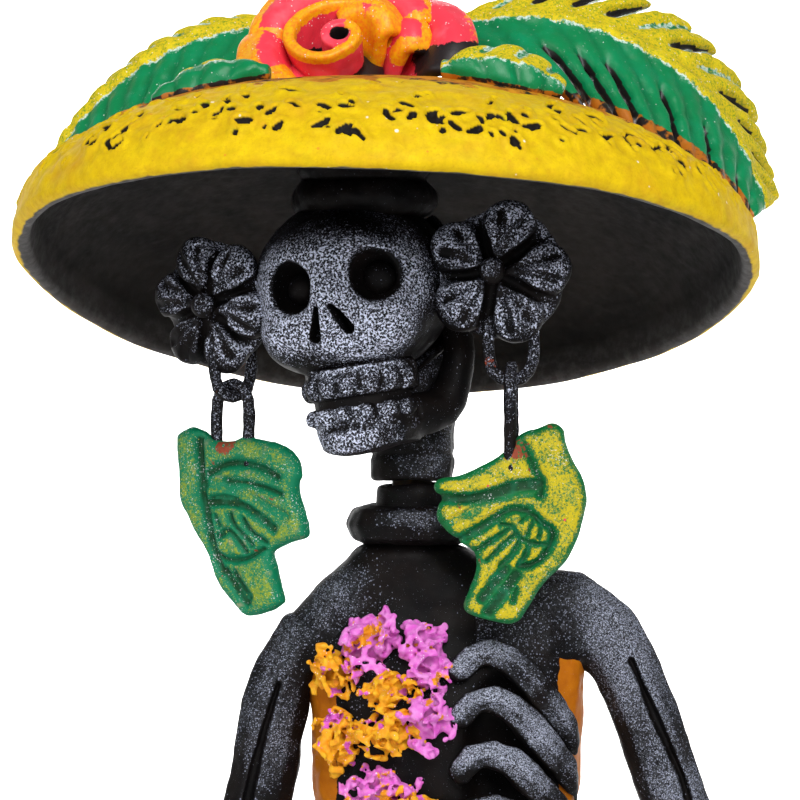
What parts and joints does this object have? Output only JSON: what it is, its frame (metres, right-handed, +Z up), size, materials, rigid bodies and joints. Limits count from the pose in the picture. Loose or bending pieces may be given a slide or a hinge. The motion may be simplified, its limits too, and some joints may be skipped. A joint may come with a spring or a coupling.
{
  "type": "catrina figurine",
  "caption": "Painted clay skeleton lady with a wide flowered hat on a lift-off head, bird earrings that swing from rings, and a bell skirt that she stands on.",
  "frame": {"origin": "on the surface that she stands on, at the centre of the whole figure's plan", "axes": "+Z up, -Y towards the side that her chest faces, +X towards her left arm"},
  "size_m": [0.1608, 0.154, 0.396],
  "materials": {
    "black_slip": "burnished black paint with a fine white and lilac spray",
    "hat_yellow": "thick yellow paint over dark clay, worn on the high spots",
    "rose_pink": "hot pink enamel with orange edges",
    "leaf_green": "emerald paint dry-brushed with yellow",
    "bird_green": "green paint sponged with yellow",
    "mustard": "mustard paint with a black wash in the folds",
    "petal_magenta": "matt magenta paint",
    "petal_orange": "matt orange paint",
    "peg_wood": "plain whittled wood"
  },
  "bodies": {
    "figure": {"skirt": "mustard", "hem_ruffle": "petal_magenta", "waist_sash": "black_slip", "skirt_flower_1": "petal_magenta", "skirt_flower_2": "petal_orange", "skirt_flower_3": "petal_magenta", "torso": "black_slip", "rib_1": "black_slip", "rib_2": "black_slip", "rib_3": "black_slip", "rib_4": "black_slip", "neck_ring": "black_slip", "flower_magenta_1": "petal_magenta", "flower_magenta_2": "petal_magenta", "flower_orange_1": "petal_orange", "flower_orange_2": "petal_orange", "flower_magenta_3": "petal_magenta", "flower_orange_3": "petal_orange", "flower_orange_4": "petal_orange", "flower_magenta_4": "petal_magenta", "flower_orange_5": "petal_orange", "left_arm": "black_slip", "left_hand": "black_slip", "right_arm": "black_slip", "right_hand": "black_slip"},
    "peg": {"neck_peg": "peg_wood"},
    "head": {"neck": "black_slip", "skull": "black_slip", "jaw": "black_slip", "left_eyeball": "black_slip", "right_eyeball": "black_slip", "hair_roll": "black_slip", "hair_back": "black_slip", "hat_brim": "hat_yellow", "rose_bud": "rose_pink", "rose_petal_1": "rose_pink", "rose_petal_2": "rose_pink", "rose_petal_3": "rose_pink", "rose_petal_4": "rose_pink", "rose_petal_5": "rose_pink", "rose_petal_6": "rose_pink", "rose_petal_7": "rose_pink", "rose_petal_8": "rose_pink", "left_frond": "leaf_green", "right_frond": "leaf_green", "left_leaf": "leaf_green", "right_leaf": "leaf_green", "left_ear_flower": "black_slip", "left_ear_flower_centre": "black_slip", "left_ear_ring": "black_slip", "right_ear_flower": "black_slip", "right_ear_flower_centre": "black_slip", "right_ear_ring": "black_slip"},
    "left_earring": {"left_bird_ring": "black_slip", "left_bird": "bird_green"},
    "right_earring": {"right_bird_ring": "black_slip", "right_bird": "bird_green"}
  },
  "joints": [
    {"name": "head_lift", "type": "slide", "parent": "figure", "child": "peg", "axis": [0, 0, 1], "range_m": [0, 0.018]},
    {"name": "head_turn", "type": "hinge", "parent": "peg", "child": "head", "pos_m": [0.0052, 0.00766, 0.3], "axis": [0, 0, 1], "range_deg": [-12, 12]},
    {"name": "left_bird_swing", "type": "hinge", "parent": "head", "child": "left_earring", "pos_m": [0.0258, -0.01834, 0.317], "axis": [-0.9976, 0.0698, 0], "range_deg": [-5, 30]},
    {"name": "right_bird_swing", "type": "hinge", "parent": "head", "child": "right_earring", "pos_m": [-0.033, -0.00334, 0.3136], "axis": [-0.788, -0.6157, 0], "range_deg": [-5, 20]}
  ]
}
